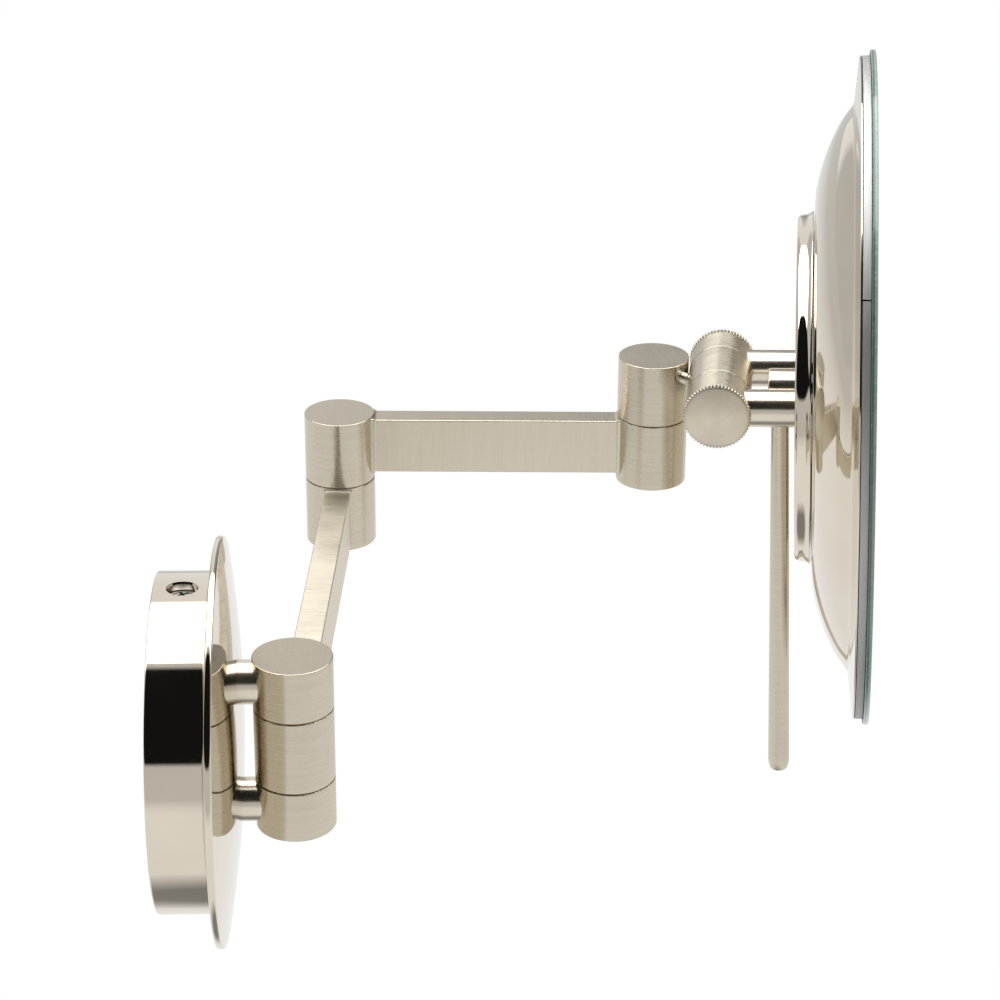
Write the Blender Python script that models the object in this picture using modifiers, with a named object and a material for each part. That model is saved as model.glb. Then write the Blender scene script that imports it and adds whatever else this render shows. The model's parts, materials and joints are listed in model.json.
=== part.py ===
"""Wall mirror on a double swing arm: base, two arm bars, wrist, tilt clutch and round mirror head.

Metres, +Z up.  The origin is the middle of the face that lies against the wall and +X points
out of the wall.  Every moving group hangs from an empty that stands on its own joint axis.
"""
import math

import bmesh
import bpy

MM = 0.001

# ---- wall base -------------------------------------------------------------
DRUM_R = 52.0
DRUM_DEPTH = 17.5
PLATE_R = 62.5
PLATE_BACK = 17.8
BRACKET_R = 44.0
LUG_HEIGHT = 20.3
WALL_SCREW_OFFSET = 28.0
SET_SCREW_X = 8.9

# ---- swivel barrels --------------------------------------------------------
BARREL_R = 12.3
PIN_R = 4.0
BORE_R = 4.35
HEAD_R = 6.1
COUNTERBORE_R = 6.5
STUB_R = 6.8

# ---- levels of the swivel faces --------------------------------------------
BASE_TOP = 28.95
BASE_BOTTOM = -28.45
SLEEVE_HALF = 11.55
LOW_GROOVE = 12.05
LOW_BOTTOM = -12.05
HIGH_GROOVE = 36.25
WRIST_TOP = 58.35

# ---- arms ------------------------------------------------------------------
BASE_AXIS_X = 40.9
ELBOW = (51.1, 170.25)
WRIST = (161.35, 167.1)
BAR_THICK = 9.0
BAR_TALL = 19.8
BAR_DROP = 1.05

# ---- tilt clutch -----------------------------------------------------------
CLUTCH = (182.95, 150.2, 53.15)
HEAD_YAW = -7.63
HEAD_TILT = -2.4
CLUTCH_R = 11.0
CENTRE_HALF = 10.95
YOKE_NEAR = 11.6
YOKE_FAR = 24.7
STUD_R = 2.0
STUD_HOLE_R = 2.35
KNOB_R = 11.5
KNOB_INNER = 25.0
KNOB_OUTER = 26.5
KNOB_DOME = 1.4
KNOB_TEETH = 60

# ---- mirror head, measured along the head axis from the clutch axis --------
BAR_R = 6.45
HUB_BACK = 26.35
SHELL_BACK = 32.0
SHELL_WALL = 1.3
BAND_BACK = 47.4
BAND_FRONT = 49.35
BAND_R = 113.0
GLASS_R = 115.0
GLASS_FRONT = 51.85
GLASS_THICK = 1.8
GLASS_SAG = 6.5
POST_TIP = 16.75
ROD_AT = 20.8
HOLE_R = 2.4
ROD_END = -150.0
BAND_SPLIT_DEG = 36.0

NICKEL = (0.62, 0.58, 0.52, 1.0)
BRIGHT = (0.80, 0.79, 0.77, 1.0)
STEEL = (0.55, 0.55, 0.55, 1.0)
BRONZE = (0.45, 0.36, 0.24, 1.0)
SILVER = (0.90, 0.93, 0.92, 1.0)
FOAM = (0.08, 0.08, 0.08, 1.0)

PARTS = "wall_mirror"
CUTTERS = "cutters"


def clear_scene():
    for thing in list(bpy.data.objects):
        bpy.data.objects.remove(thing, do_unlink=True)


def collection(name):
    found = bpy.data.collections.get(name)
    if found is None:
        found = bpy.data.collections.new(name)
        bpy.context.scene.collection.children.link(found)
    return found


def finish_of(name, colour, roughness, metallic):
    material = bpy.data.materials.new(name)
    material.use_nodes = True
    shader = material.node_tree.nodes["Principled BSDF"]
    shader.inputs["Base Color"].default_value = colour
    shader.inputs["Roughness"].default_value = roughness
    shader.inputs["Metallic"].default_value = metallic
    return material


def add_object(name, mesh, where):
    thing = bpy.data.objects.new(name, mesh)
    collection(where).objects.link(thing)
    return thing


def place(thing, at, turn=(0.0, 0.0, 0.0), parent=None):
    thing.location = [value * MM for value in at]
    thing.rotation_euler = [math.radians(value) for value in turn]
    if parent is not None:
        thing.parent = parent
    return thing


def frame_at(name, at, turn=(0.0, 0.0, 0.0), parent=None):
    return place(add_object(name, None, PARTS), at, turn, parent)


def turned(name, profile, steps, closed=False, where=PARTS):
    """A body turned round its own Z from (radius, height) points down the outside."""
    mesh = bpy.data.meshes.new(name)
    points = [(radius * MM, 0.0, height * MM) for radius, height in profile]
    edges = [(i, i + 1) for i in range(len(points) - 1)]
    if closed:
        edges.append((len(points) - 1, 0))
    mesh.from_pydata(points, edges, [])
    thing = add_object(name, mesh, where)
    screw = thing.modifiers.new("turn", "SCREW")
    screw.axis = "Z"
    screw.angle = math.tau
    screw.steps = steps
    screw.render_steps = steps
    screw.use_merge_vertices = True
    screw.merge_threshold = 0.00001
    return thing


def rod(name, radius, low, high, steps=20, edge=0.0, where=PARTS):
    """A plain cylinder on its own Z between two heights, with an optional edge break."""
    if edge > 0.0:
        profile = [(0, high), (radius - edge, high), (radius, high - edge)]
        profile += [(radius, low + edge), (radius - edge, low), (0, low)]
    else:
        profile = [(0, high), (radius, high), (radius, low), (0, low)]
    return turned(name, profile, steps, where=where)


def ring(name, inner, outer, low, high, steps=24, where=PARTS):
    profile = [(outer, high), (outer, low), (inner, low), (inner, high)]
    return turned(name, profile, steps, closed=True, where=where)


def block(name, size, where=PARTS):
    """A box on its own origin with the given full sizes."""
    mesh = bpy.data.meshes.new(name)
    shape = bmesh.new()
    bmesh.ops.create_cube(shape, size=1.0)
    for corner in shape.verts:
        for axis in range(3):
            corner.co[axis] *= size[axis] * MM
    shape.to_mesh(mesh)
    shape.free()
    return add_object(name, mesh, where)


def combine(thing, other, operation):
    step = thing.modifiers.new(operation.lower(), "BOOLEAN")
    step.operation = operation
    step.solver = "EXACT"
    step.object = other
    other.hide_render = True
    other.display_type = "WIRE"


def cut(thing, *cutters):
    for cutter in cutters:
        combine(thing, cutter, "DIFFERENCE")
    return thing


def join(thing, *others):
    for other in others:
        combine(thing, other, "UNION")
    return thing


def dress(thing, name, colour, roughness=0.3, metallic=1.0, angle=35.0):
    """Give the body its own finish and crease its edges."""
    thing.data.materials.append(finish_of(name, colour, roughness, metallic))
    thing.data.shade_smooth()
    thing.data.set_sharp_from_angle(angle=math.radians(angle))
    return thing


def brushed(thing):
    return dress(thing, thing.name + "_finish", NICKEL, 0.32)


def polished(thing):
    return dress(thing, thing.name + "_finish", BRIGHT, 0.08)


def steel(thing):
    return dress(thing, thing.name + "_finish", STEEL, 0.4)


def bore(tag, radius, low, high, at, turn=(0.0, 0.0, 0.0), parent=None, steps=16):
    """A round cutter between two heights on its own axis."""
    return place(rod(tag, radius, low, high, steps, where=CUTTERS), at, turn, parent)


ALONG_X = (0.0, 90.0, 0.0)
ALONG_Y = (-90.0, 0.0, 0.0)


def wall_base():
    bracket = turned("wall_bracket", [(0, 2.5), (41, 2.5), (41, 13), (BRACKET_R, 13),
                                      (BRACKET_R, 0), (0, 0)], 36)
    place(bracket, (0, 0, 0), ALONG_X)
    for side in (-1, 1):
        y = side * WALL_SCREW_OFFSET
        cut(bracket, bore("bracket_hole", 2.5, -1, 4, (0, y, 0), ALONG_X))
        end = "near" if side < 0 else "far"
        screw = turned("wall_screw_" + end, [(0, 5.2), (2.6, 5.2), (4.3, 4.0), (4.3, 2.8),
                                             (2.1, 2.8), (2.1, 0.2), (0, 0.2)], 12)
        steel(place(screw, (0, y, 0), ALONG_X))
    steel(bracket)

    drum = turned("base_drum", [(0, DRUM_DEPTH), (50.9, DRUM_DEPTH), (DRUM_R, 16.4),
                                (DRUM_R, 0), (49, 0), (49, 15), (0, 15)], 48)
    place(drum, (0, 0, 0), ALONG_X)
    for side in (-1, 1):
        cut(drum, bore("lug_screw_hole", 2.7, 14, 19, (0, 0, side * LUG_HEIGHT), ALONG_X))
    cut(drum, bore("set_screw_hole", 4.3, 46, 54, (SET_SCREW_X, 0, 0), steps=20))
    polished(drum)

    grub = turned("drum_set_screw", [(0, 49.6), (1.6, 49.6), (1.6, 51.0), (3.4, 51.0), (3.9, 50.5),
                                     (3.9, 46.4), (2.2, 44.6), (0, 44.6)], 16)
    steel(place(grub, (SET_SCREW_X, 0, 0)))

    plate = turned("cover_plate", [(0, 25.2), (18, 24.75), (34, 23.7), (50, 21.8), (60.4, 20.3),
                                   (62.1, 19.7), (PLATE_R, 18.8), (61.5, PLATE_BACK),
                                   (55, PLATE_BACK), (40, 20.8), (0, 22.8)], 48)
    place(plate, (0, 0, 0), ALONG_X)
    for side in (-1, 1):
        cut(plate, bore("lug_hole", STUB_R + 0.3, 14, 30, (0, 0, side * LUG_HEIGHT), ALONG_X,
                        steps=20))
    polished(plate)


def base_lugs():
    """The two fixed barrels of the base hinge, each on a short round stub."""
    span = {"upper": (LOW_GROOVE + 0.5, BASE_TOP), "lower": (BASE_BOTTOM, -LOW_GROOVE - 0.5)}
    for end, (low, high) in span.items():
        side = 1 if end == "upper" else -1
        z = side * LUG_HEIGHT
        lug = place(rod("lug_" + end, BARREL_R, low, high, 28, 0.35), (BASE_AXIS_X, 0, 0))
        stub = rod("stub_" + end, STUB_R, PLATE_BACK, BASE_AXIS_X - 7.0, 20, where=CUTTERS)
        join(lug, place(stub, (0, 0, z), ALONG_X))
        if side > 0:
            cut(lug, bore("pin_bore", BORE_R, low - 1, 25.0, (BASE_AXIS_X, 0, 0)))
        else:
            cut(lug, bore("pin_bore", BORE_R, low - 1, high + 1, (BASE_AXIS_X, 0, 0)),
                bore("pin_recess", COUNTERBORE_R, low - 1, low + 2.25, (BASE_AXIS_X, 0, 0)))
        cut(lug, bore("lug_bore", 2.6, PLATE_BACK - 1, 27.5, (0, 0, z), ALONG_X, steps=12))
        brushed(lug)
        screw = turned("lug_screw_" + end, [(0, 27.0), (2.2, 27.0), (2.2, 14.7), (4.4, 14.7),
                                            (4.4, 12.6), (3.6, 11.8), (0, 11.8)], 12)
        steel(place(screw, (0, 0, z), ALONG_X))
        level = side * LOW_GROOVE
        washer = ring("hinge_washer_" + end, BORE_R, 11.9, level - 0.25, level + 0.25)
        dress(place(washer, (BASE_AXIS_X, 0, 0)), "washer_" + end, BRONZE, 0.45)


def swivel_pin(name, head_low, tip, axis_x, axis_y):
    """A shouldered pivot screw put in from below."""
    profile = [(0, tip), (PIN_R - 0.4, tip), (PIN_R, tip - 0.4), (PIN_R, head_low + 1.65),
               (HEAD_R, head_low + 1.65), (HEAD_R, head_low), (0, head_low)]
    return steel(place(turned(name, profile, 16), (axis_x, axis_y, 0)))


def swivels():
    swivel_pin("hinge_pin", BASE_BOTTOM + 0.3, 24.7, BASE_AXIS_X, 0)
    swivel_pin("elbow_pin", LOW_BOTTOM + 0.3, 31.4, *ELBOW)
    swivel_pin("wrist_pin", LOW_GROOVE + 0.3, 49.1, *WRIST)
    for name, level, spot in (("elbow_washer", LOW_GROOVE, ELBOW),
                              ("wrist_washer", HIGH_GROOVE, WRIST)):
        washer = ring(name, BORE_R, 11.9, level - 0.25, level + 0.25)
        dress(place(washer, (*spot, 0)), name + "_finish", BRONZE, 0.45)


def sleeve(name, low, high, spot, bore_top, recess, parent):
    """One barrel of an arm end; spot is its axis in the plan of its parent."""
    body = place(rod(name, BARREL_R, low, high, 28, 0.35), (*spot, 0), parent=parent)
    cut(body, bore("sleeve_bore", BORE_R, low - 1, bore_top, (*spot, 0), parent=parent))
    if recess:
        cut(body, bore("sleeve_recess", COUNTERBORE_R, low - 1, low + 2.25, (*spot, 0),
                       parent=parent))
    return brushed(body)


def arm_bar(name, length, top, parent):
    """A flat bar along the X of its parent, hollowed at both ends to hug the barrels."""
    bar = block(name, (length - 2 * BARREL_R + 6.0, BAR_THICK, BAR_TALL))
    edge = bar.modifiers.new("edge", "BEVEL")
    edge.width = 0.5 * MM
    edge.segments = 1
    level = top - BAR_TALL / 2
    place(bar, (length / 2, 0, level), parent=parent)
    for x in (0, length):
        cut(bar, bore("bar_end", BARREL_R + 0.3, -15, 15, (x, 0, level), parent=parent, steps=28))
    return brushed(bar)


def arms():
    reach = math.hypot(ELBOW[0] - BASE_AXIS_X, ELBOW[1])
    heading = math.degrees(math.atan2(ELBOW[1], ELBOW[0] - BASE_AXIS_X))
    lower = frame_at("lower_arm_frame", (BASE_AXIS_X, 0, 0), (0, 0, heading))
    sleeve("lower_arm_base_sleeve", -SLEEVE_HALF, SLEEVE_HALF, (0, 0), 20, False, lower)
    arm_bar("lower_arm_bar", reach, LOW_GROOVE - BAR_DROP, lower)
    sleeve("lower_arm_elbow_sleeve", LOW_BOTTOM, SLEEVE_HALF, (reach, 0), 20, True, lower)

    reach = math.hypot(WRIST[0] - ELBOW[0], WRIST[1] - ELBOW[1])
    heading = math.degrees(math.atan2(WRIST[1] - ELBOW[1], WRIST[0] - ELBOW[0]))
    upper = frame_at("upper_arm_frame", (*ELBOW, 0), (0, 0, heading))
    sleeve("upper_arm_elbow_sleeve", LOW_GROOVE + 0.5, HIGH_GROOVE, (0, 0), 31.8, False, upper)
    arm_bar("upper_arm_bar", reach, HIGH_GROOVE - BAR_DROP, upper)
    sleeve("upper_arm_wrist_sleeve", LOW_GROOVE, HIGH_GROOVE - 0.5, (reach, 0), 40, True, upper)


def wrist():
    """Wrist barrel, threaded stud and the middle of the tilt clutch."""
    swing = frame_at("wrist_frame", (*WRIST, 0))
    dx, dy = CLUTCH[0] - WRIST[0], CLUTCH[1] - WRIST[1]
    reach = math.hypot(dx, dy)
    stud_turn = (0.0, 90.0, math.degrees(math.atan2(dy, dx)))
    stud_spot = (0, 0, CLUTCH[2])

    body = sleeve("wrist_sleeve", HIGH_GROOVE + 0.5, WRIST_TOP, (0, 0), 49.5, False, swing)
    cut(body, bore("stud_hole", STUD_HOLE_R, 5.0, 16, stud_spot, stud_turn, swing, 12))

    threads = [(0, reach - 7.6), (1.7, reach - 7.6)]
    pitch = 1.0
    for turn_index in range(5):
        z = reach - 10.5 - turn_index * pitch
        threads += [(STUD_R, z), (STUD_R - 0.3, z - pitch / 2)]
    threads += [(STUD_R, 10.5), (STUD_R, 5.3), (0, 5.3)]
    stud = turned("wrist_stud", threads, 12)
    steel(place(stud, stud_spot, stud_turn, swing))

    axle_frame = frame_at("clutch_frame", (dx, dy, CLUTCH[2]), (0, 0, HEAD_YAW), swing)
    barrel = place(rod("clutch_barrel", CLUTCH_R, -CENTRE_HALF, CENTRE_HALF, 28, 0.3),
                   (0, 0, 0), ALONG_Y, axle_frame)
    cut(barrel, bore("barrel_bore", BORE_R, -15, 15, (0, 0, 0), ALONG_Y, axle_frame),
        bore("barrel_stud_hole", STUD_HOLE_R, reach - 16, reach - 7.2, stud_spot, stud_turn,
             swing, 12))
    brushed(barrel)

    axle = rod("tilt_axle", PIN_R, -24.6, 24.6, 16)
    place(axle, (0, 0, 0), ALONG_Y, axle_frame)
    for side in (-1, 1):
        tip = bore("axle_thread", 2.35, 15.5, 26, (0, 0, 0), (-90.0 * side, 0, 0), axle_frame, 12)
        cut(axle, tip)
    steel(axle)

    for side, end in ((-1, "near"), (1, "far")):
        knob(end, side, axle_frame)
    return axle_frame


def knob(end, side, parent):
    """A thin thumb nut with a knurled rim and a shank into the axle."""
    mesh = bpy.data.meshes.new("clutch_knob_" + end)
    shape = bmesh.new()
    count = KNOB_TEETH * 2
    levels = ((KNOB_R - 0.5, KNOB_R - 0.5, KNOB_INNER), (KNOB_R, KNOB_R - 0.4, KNOB_INNER + 0.3),
              (KNOB_R, KNOB_R - 0.4, KNOB_OUTER - 0.4), (KNOB_R - 0.7, KNOB_R - 0.7, KNOB_OUTER),
              (6.7, 6.7, KNOB_OUTER + 0.6 * KNOB_DOME))
    rings = []
    for crest, root, height in levels:
        loop = []
        for i in range(count):
            angle = math.tau * i / count
            radius = crest if i % 2 == 0 else root
            loop.append(shape.verts.new((radius * math.cos(angle) * MM,
                                         radius * math.sin(angle) * MM, height * MM)))
        rings.append(loop)
    for low, high in zip(rings, rings[1:]):
        for i in range(count):
            j = (i + 1) % count
            shape.faces.new((low[i], low[j], high[j], high[i]))
    shape.faces.new(list(reversed(rings[0])))
    crown = shape.verts.new((0.0, 0.0, (KNOB_OUTER + KNOB_DOME) * MM))
    for i in range(count):
        shape.faces.new((rings[-1][i], rings[-1][(i + 1) % count], crown))
    shape.to_mesh(mesh)
    shape.free()
    thing = add_object("clutch_knob_" + end, mesh, PARTS)
    place(thing, (0, 0, 0), (-90.0 * side, 0, 0), parent)
    shank = rod("knob_shank", 2.0, 17.0, KNOB_INNER + 0.6, 12, where=CUTTERS)
    join(thing, place(shank, (0, 0, 0), (-90.0 * side, 0, 0), parent))
    brushed(thing)


def yoke(end, side, head):
    """An outer clutch barrel in one piece with the round bar that carries the hub."""
    low, high = sorted((side * YOKE_NEAR, side * YOKE_FAR))
    body = place(rod("yoke_" + end, CLUTCH_R, low, high, 28, 0.3), (0, 0, 0), ALONG_Y, head)
    at = side * (YOKE_NEAR + YOKE_FAR) / 2
    bar = rod("yoke_bar", BAR_R, 6.5, HUB_BACK - 0.3, 20, where=CUTTERS)
    join(body, place(bar, (0, at, 0), ALONG_X, head))
    cut(body, bore("yoke_bore", BORE_R, low - 1, high + 1, (0, 0, 0), ALONG_Y, head),
        bore("yoke_thread", 2.4, 15, HUB_BACK + 1, (0, at, 0), ALONG_X, head, 12))
    brushed(body)
    washer = ring("clutch_washer_" + end, BORE_R, 10.4, -0.15, 0.15)
    place(washer, (0, side * (CENTRE_HALF + YOKE_NEAR) / 2, 0), ALONG_Y, head)
    dress(washer, "clutch_washer_finish_" + end, FOAM, 0.6, 0.0)
    head_screw("yoke_screw_" + end, at, 16.0, head)


def head_screw(name, at, tip, head):
    """A pan screw put in from inside the shell."""
    seat = SHELL_BACK + SHELL_WALL + 0.3
    profile = [(0, seat + 2.4), (3.2, seat + 2.4), (4.2, seat + 1.4), (4.2, seat), (2.0, seat),
               (2.0, tip), (0, tip)]
    steel(place(turned(name, profile, 12), (0, at, 0), ALONG_X, head))


def screw_holes(tag, low, high, head):
    spread = (YOKE_NEAR + YOKE_FAR) / 2
    return [bore(tag, HOLE_R, low, high, (0, y, 0), ALONG_X, head, 12) for y in (-spread, spread)]


def mirror_head(axle_frame):
    head = frame_at("head_frame", (0, 0, 0), (0, HEAD_TILT, 0), axle_frame)
    for side, end in ((-1, "near"), (1, "far")):
        yoke(end, side, head)

    hub = turned("hub_disc", [(HOLE_R, 31.7), (26, 31.7), (27, 29.4), (53, 29.4), (54, 31.7),
                              (60.7, 31.7), (59.9, 30.9), (59.3, 27.1), (58.5, HUB_BACK),
                              (HOLE_R, HUB_BACK)], 50, closed=True)
    place(hub, (0, 0, 0), ALONG_X, head)
    cut(hub, *screw_holes("hub_hole", HUB_BACK - 1, 33, head))
    polished(hub)

    post = place(rod("handle_post", STUB_R, POST_TIP, HUB_BACK - 0.3, 20, 0.5), (0, 0, 0),
                 ALONG_X, head)
    cut(post, bore("rod_hole", 3.4, -9, 3.5, (ROD_AT, 0, 0), parent=head),
        bore("post_thread", 2.4, 24.9, HUB_BACK + 1, (0, 0, 0), ALONG_X, head, 12))
    brushed(post)
    head_screw("post_screw", 0.0, 25.2, head)

    handle = turned("handle_rod", [(0, 3.2), (3.05, 3.2), (3.1, -8), (3.8, ROD_END + 3.4),
                                   (3.3, ROD_END + 1.2), (2.0, ROD_END + 0.2), (0, ROD_END)], 20)
    brushed(place(handle, (ROD_AT, 0, 0), parent=head))

    shell = turned("back_shell", [(HOLE_R, 33.3), (61, 33.3), (75.5, 35.7), (90.3, 42.1), (97.6, 46.3),
                                  (BAND_R, 47.05), (BAND_R, 46.5), (98.2, 45.0), (96.8, 44.7),
                                  (91, 40.6), (84, 37.15), (76, 34.35), (68, 32.5),
                                  (61, SHELL_BACK), (HOLE_R, SHELL_BACK)], 54, closed=True)
    place(shell, (0, 0, 0), ALONG_X, head)
    cut(shell, *screw_holes("shell_hole", 30, 35, head))
    polished(shell)

    cushion = ring("glass_cushion", 99.0, 107.0, 47.4, 47.85, 40)
    dress(place(cushion, (0, 0, 0), ALONG_X, head), "cushion_foam", FOAM, 0.8, 0.0)

    band = ring("rim_band", BAND_R - 1.6, BAND_R, BAND_BACK, BAND_FRONT, 52)
    place(band, (0, 0, 0), ALONG_X, head)
    split = block("band_split", (6.0, 6.0, 0.4), CUTTERS)
    angle = math.radians(BAND_SPLIT_DEG)
    place(split, (48.5, -112 * math.cos(angle), 112 * math.sin(angle)), (-BAND_SPLIT_DEG, 0, 0),
          head)
    cut(band, split)
    polished(band)

    mirror_glass(head)


def mirror_glass(head):
    """A round concave sheet of silvered glass."""
    radii = (0.0, 40.0, 75.0, 108.0)
    front = []
    back = []
    for radius in radii:
        sag = GLASS_SAG * (1.0 - (radius / GLASS_R) ** 2)
        front.append((radius, GLASS_FRONT - sag))
        back.append((radius, GLASS_FRONT - GLASS_THICK - sag))
    rim = [(GLASS_R, GLASS_FRONT), (GLASS_R, GLASS_FRONT - GLASS_THICK)]
    glass = turned("mirror_glass", front + rim + back[::-1], 52)
    dress(place(glass, (0, 0, 0), ALONG_X, head), "silvered_glass", SILVER, 0.03, 0.9, 20.0)


clear_scene()
wall_base()
base_lugs()
swivels()
arms()
mirror_head(wrist())
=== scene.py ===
"""Looks of the wall mirror: turned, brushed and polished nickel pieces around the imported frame.

Lengths are millimetres, and MM turns them into metres; the camera and studio are in metres.
Every turned piece is skinned round its own Z, and its "brush" UV map holds millimetres: u runs
along the brush lines and v across them.
"""
import json
import math

import bmesh
import bpy
import numpy as np
from mathutils import Matrix, Vector


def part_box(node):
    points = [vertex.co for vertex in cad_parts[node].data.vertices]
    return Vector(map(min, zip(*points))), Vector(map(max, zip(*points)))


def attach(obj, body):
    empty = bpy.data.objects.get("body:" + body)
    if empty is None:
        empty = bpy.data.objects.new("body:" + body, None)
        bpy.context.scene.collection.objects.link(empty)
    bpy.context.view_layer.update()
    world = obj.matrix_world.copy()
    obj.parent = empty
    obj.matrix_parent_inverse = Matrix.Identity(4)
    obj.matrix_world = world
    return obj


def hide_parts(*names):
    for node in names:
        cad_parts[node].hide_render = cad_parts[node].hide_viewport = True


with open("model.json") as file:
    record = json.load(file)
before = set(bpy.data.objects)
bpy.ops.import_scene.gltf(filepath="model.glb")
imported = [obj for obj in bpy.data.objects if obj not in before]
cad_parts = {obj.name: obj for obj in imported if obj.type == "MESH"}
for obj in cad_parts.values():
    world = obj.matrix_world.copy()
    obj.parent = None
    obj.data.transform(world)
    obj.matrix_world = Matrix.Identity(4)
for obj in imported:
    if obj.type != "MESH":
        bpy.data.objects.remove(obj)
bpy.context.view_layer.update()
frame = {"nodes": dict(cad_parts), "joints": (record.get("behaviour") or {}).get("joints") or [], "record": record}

MM = 0.001

# ---- camera, in metres -----------------------------------------------------
CAMERA_AT = (0.08021, -0.76503, 0.43120)
CAMERA_PITCH = 24.65
CAMERA_YAW = -1.70
CAMERA_ROLL = 0.34
LENS_MM = 103.5
SENSOR_MM = 36.0

# ---- studio, in metres; tones are radiances, 1 is white --------------------
FLOOR_DEPTH = 0.75
FLOOR_RADIUS = 9.0
SOFTBOX_HEIGHT = 1.0
SOFTBOX_FRONT = -0.16
SOFTBOX_BACK = 0.95
SOFTBOX_WIDTH = 1.9
SOFTBOX_RADIANCE = 3.2
PALE = 0.90
FAR_TONE = 0.62
BACK_TONE = 0.33
LEFT_TONE = 0.58
RIGHT_TONE = 0.20
DARK = 0.012
DARK_FROM_DEG = 12.6
DARK_TO_DEG = 80.0
BACK_FALL = (-0.03, 0.08)
BACK_SPREAD = 0.38
FAR_FROM = 2.2
FAR_TO = 4.5
SHADE_AT = (0.10, 0.0)
SHADE_INNER = 0.18
SHADE_OUTER = 0.38
SHADE_DEPTH = 0.72

# ---- edges, gaps and small features ----------------------------------------
EDGE = 0.3
GROOVE_HALF = 0.22
CLUTCH_GAP = 0.12
BAR_EDGE = 0.4
BRAZE = 0.9
STUD_PITCH = 1.0
PLATE_DOME = 740.0
GLASS_SAG = 6.5
KNOB_TEETH = 60
STUB_R = 6.8
STUB_LEVEL = 20.3
YOKE_BAR_R = 6.45
KNOB_CROWN = 1.4
KNURL_DEPTH = 0.55
PIN_R = 4.0
PIN_HOLE_R = 6.5
PIN_HOLE_DEPTH = 2.4
WASHER_BORE_R = 4.4
STUB_INSET = 8.5
GLASS_THICK = 1.8
BAND_WALL = 1.4
BAND_SPLIT_DEG = 36.0
BAND_SPLIT_GAP = 0.5
BASE_CAP_TURN = 84.0
ARM_CAP_TURN = 88.0
WRIST_CAP_TURN = 80.0

NICKEL = (0.765, 0.700, 0.590)
BRUSHED_DARK = (0.600, 0.540, 0.435)
BRUSHED_LIGHT = (0.750, 0.688, 0.568)
STEEL = (0.560, 0.555, 0.545)
BRONZE = (0.480, 0.340, 0.180)

BODY_OF = {node: body for body, members in frame["record"]["behaviour"]["bodies"].items()
           for node in members}
JOINTS = {joint["name"]: joint for joint in frame["joints"]}


# ---- frames and measures ---------------------------------------------------
def frame_on(origin, axis, across=(0.0, 0.0, 1.0)):
    """A matrix at origin, in metres, with Z along axis and X as near to across as it can be."""
    z = Vector(axis).normalized()
    x = Vector(across) - z * Vector(across).dot(z)
    x.normalize()
    y = z.cross(x)
    turn = Matrix((x, y, z)).transposed().to_4x4()
    return Matrix.Translation(Vector(origin)) @ turn


def corners(node, place):
    """Lowest and highest corner of a CAD node in the axes of place, in millimetres."""
    back = place.inverted()
    points = np.array([back @ vertex.co for vertex in frame["nodes"][node].data.vertices]) / MM
    return Vector(points.min(0)), Vector(points.max(0))


def span(node, place):
    """Low end, high end and radius of a turned CAD node about the Z of place."""
    low, high = corners(node, place)
    return low.z, high.z, (high.x - low.x) / 2


def middle_height(node):
    """Height of the middle of a CAD node, in millimetres."""
    low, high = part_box(node)
    return (low.z + high.z) / 2 / MM


def disc_axis(node):
    """The direction that a thin round node is thinnest in, out of the wall."""
    points = np.array([vertex.co for vertex in frame["nodes"][node].data.vertices])
    spread = np.linalg.eigh(np.cov((points - points.mean(0)).T))[1]
    axis = Vector(spread[:, 0])
    return axis if axis.x > 0 else -axis


UP = (0.0, 0.0, 1.0)
WALL = frame_on((0, 0, 0), (1, 0, 0))
BASE_AXIS = frame_on(JOINTS["base_swing"]["pos_m"][:2] + [0.0], UP, (1, 0, 0))
ELBOW_AXIS = frame_on(JOINTS["elbow_swing"]["pos_m"][:2] + [0.0], UP, (1, 0, 0))
WRIST_AXIS = frame_on(JOINTS["wrist_swing"]["pos_m"][:2] + [0.0], UP, (1, 0, 0))
CLUTCH_CENTRE = Vector(JOINTS["head_tilt"]["pos_m"])
CLUTCH_AXIS = frame_on(CLUTCH_CENTRE, JOINTS["head_tilt"]["axis"])
HEAD_AXIS = frame_on(CLUTCH_CENTRE, disc_axis("mirror_glass"))


def shifted(place, x=0.0, y=0.0, z=0.0):
    return place @ Matrix.Translation(Vector((x, y, z)) * MM)


# ---- outlines --------------------------------------------------------------
def softened(outline, parts=4):
    """An outline of (radius, height, fillet) corners with each fillet drawn as a curve."""
    points = []
    for index, corner in enumerate(outline):
        here = Vector(corner[:2])
        fillet = corner[2] if len(corner) > 2 else 0.0
        if fillet <= 0.0 or index in (0, len(outline) - 1):
            points.append(here)
            continue
        before = Vector(outline[index - 1][:2]) - here
        after = Vector(outline[index + 1][:2]) - here
        start = here + before.normalized() * min(fillet, before.length * 0.48)
        end = here + after.normalized() * min(fillet, after.length * 0.48)
        for part in range(parts + 1):
            s = part / parts
            points.append(start * (1 - s) ** 2 + here * 2 * s * (1 - s) + end * s ** 2)
    return points


def flowing(points, parts=6):
    """A smooth curve through the points."""
    spots = [Vector(point) for point in points]
    spots = [2 * spots[0] - spots[1]] + spots + [2 * spots[-1] - spots[-2]]
    drawn = []
    for a, b, c, d in zip(spots, spots[1:], spots[2:], spots[3:]):
        for part in range(parts):
            s = part / parts
            drawn.append(0.5 * (2 * b + (c - a) * s + (2 * a - 5 * b + 4 * c - d) * s ** 2
                                + (3 * b - 3 * c + d - a) * s ** 3))
    drawn.append(spots[-2])
    return [tuple(spot) for spot in drawn]


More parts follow.
